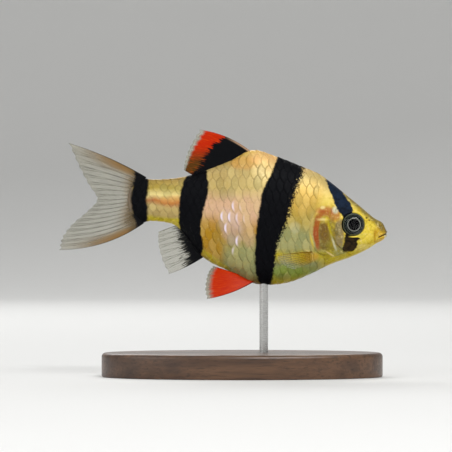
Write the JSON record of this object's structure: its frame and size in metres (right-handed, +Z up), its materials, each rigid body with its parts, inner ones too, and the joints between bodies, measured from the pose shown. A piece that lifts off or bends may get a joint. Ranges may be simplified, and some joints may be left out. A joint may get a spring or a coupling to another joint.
{
  "type": "tiger barb",
  "caption": "Still, life-size model of a tiger barb, a deep-bodied striped aquarium fish with forked tail and red fins, held by a plain rod on an oval wooden base.",
  "frame": {"origin": "middle of the stand's flat underside, on the table", "axes": "+X towards the snout, +Y towards the fish's left flank, +Z up; the fish's mid plane is y = 0"},
  "size_m": [0.0605, 0.028, 0.0457],
  "materials": {
    "skin": "satin",
    "eye": "gloss",
    "fin": "satin",
    "wood": "satin",
    "steel": "satin"
  },
  "bodies": {
    "root": {"head": "skin", "lower_jaw": "skin", "gill_cover_left": "skin", "gill_cover_right": "skin", "trunk": "skin", "tail_stem": "skin", "eye_left": "eye", "eye_right": "eye", "dorsal_fin": "fin", "caudal_fin": "fin", "anal_fin": "fin", "pelvic_fin_left": "fin", "pelvic_fin_right": "fin", "pectoral_fin_left": "fin", "pectoral_fin_right": "fin", "stand_base": "wood", "stand_rod": "steel"}
  },
  "joints": []
}
